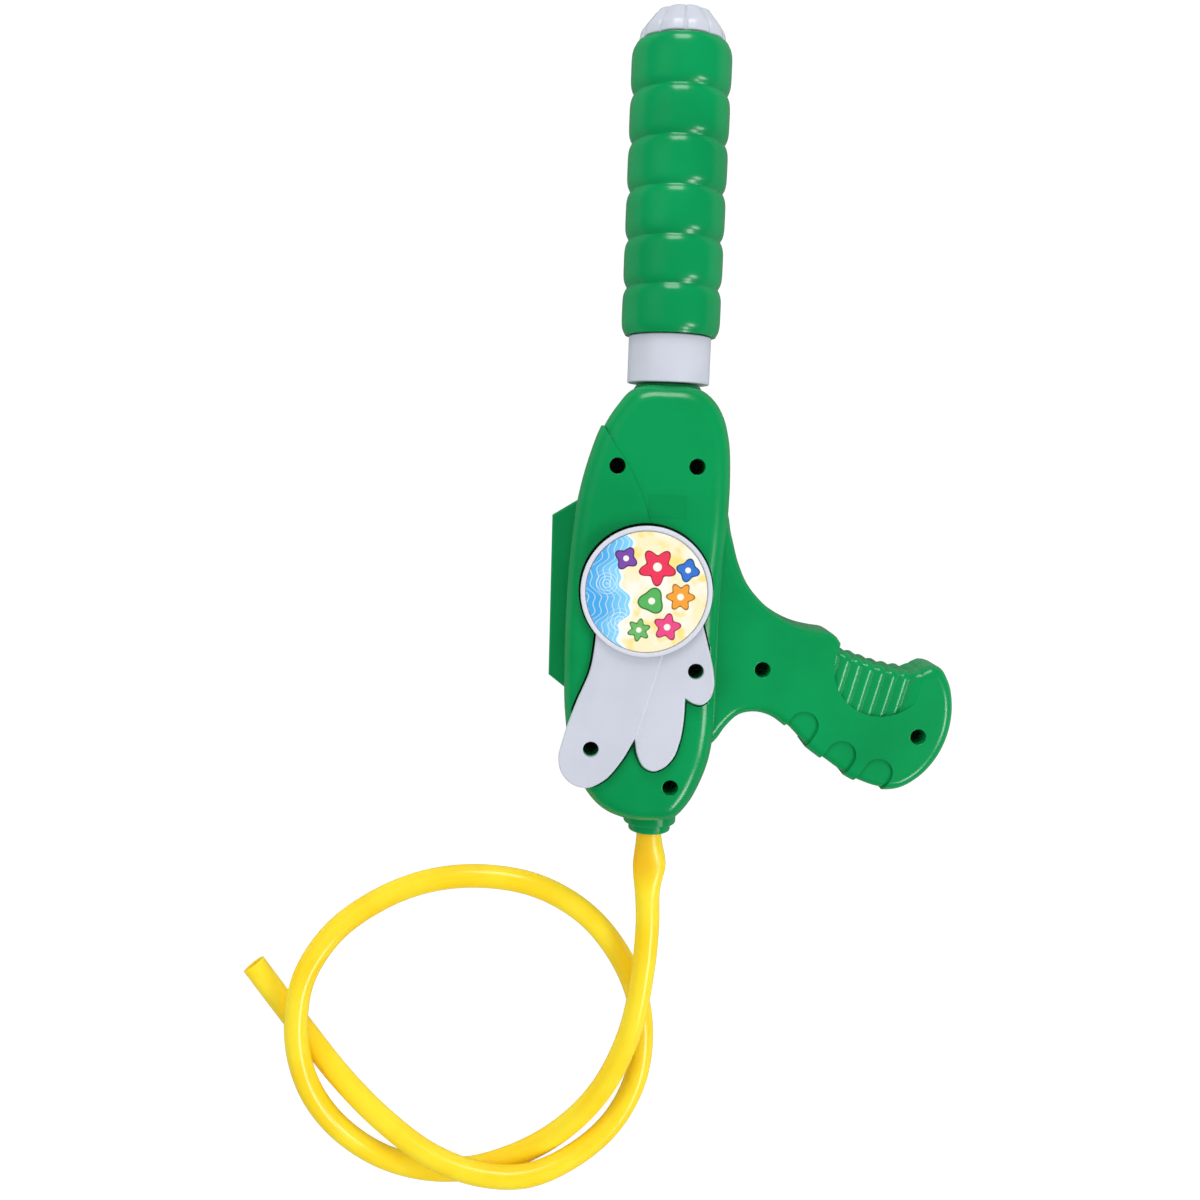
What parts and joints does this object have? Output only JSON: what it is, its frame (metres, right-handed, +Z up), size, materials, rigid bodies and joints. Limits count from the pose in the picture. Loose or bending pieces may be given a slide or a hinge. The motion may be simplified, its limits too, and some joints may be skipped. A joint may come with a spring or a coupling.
{
  "type": "toy water squirter",
  "caption": "Toy pump squirter on its side: moulded gun with grip, ringed sliding pump sleeve, petalled nozzle cap, side plate with round badge, and a loose clear hose.",
  "frame": {"origin": "on the floor, under the pump's axis, on the flat side panel that the squirter lies on", "axes": "+Y along the pump's axis to the nozzle, +X to the grip, +Z up from the floor"},
  "size_m": [0.3108, 0.5236, 0.0472],
  "materials": {
    "green_plastic": "satin moulded",
    "grey_plastic": "satin moulded",
    "white_plastic": "satin moulded",
    "badge_print": "printed",
    "hose_vinyl": "clear vinyl",
    "black_rubber": "moulded",
    "steel": "plated"
  },
  "bodies": {
    "gun": {"near_shell": "green_plastic", "far_shell": "green_plastic", "shell_screw_1": "steel", "shell_screw_2": "steel", "shell_screw_3": "steel", "shell_screw_4": "steel", "shell_screw_5": "steel", "shell_screw_6": "steel", "shell_screw_7": "steel", "wing_plate": "grey_plastic", "badge_disc": "white_plastic", "badge_label": "badge_print", "rod_tube": "grey_plastic", "hose_barb": "white_plastic", "piston_head": "white_plastic", "piston_oring": "black_rubber", "inlet_cage": "white_plastic", "hose": "hose_vinyl"},
    "pump": {"pump_grip": "green_plastic", "pump_cylinder": "white_plastic", "cylinder_collar": "grey_plastic", "rod_bush": "white_plastic", "nozzle_cap": "grey_plastic", "nozzle_tip": "white_plastic", "nozzle_gasket": "black_rubber"},
    "inlet_valve": {"inlet_ball": "steel"},
    "outlet_valve": {"outlet_ball": "steel"}
  },
  "joints": [
    {"name": "pump_slide", "type": "slide", "parent": "gun", "child": "pump", "axis": [0, 1, 0], "range_m": [0, 0.1]},
    {"name": "inlet_ball_slide", "type": "slide", "parent": "gun", "child": "inlet_valve", "axis": [0, 1, 0], "range_m": [0, 0.0018]},
    {"name": "outlet_ball_slide", "type": "slide", "parent": "pump", "child": "outlet_valve", "axis": [0, 1, 0], "range_m": [0, 0.0015]}
  ]
}
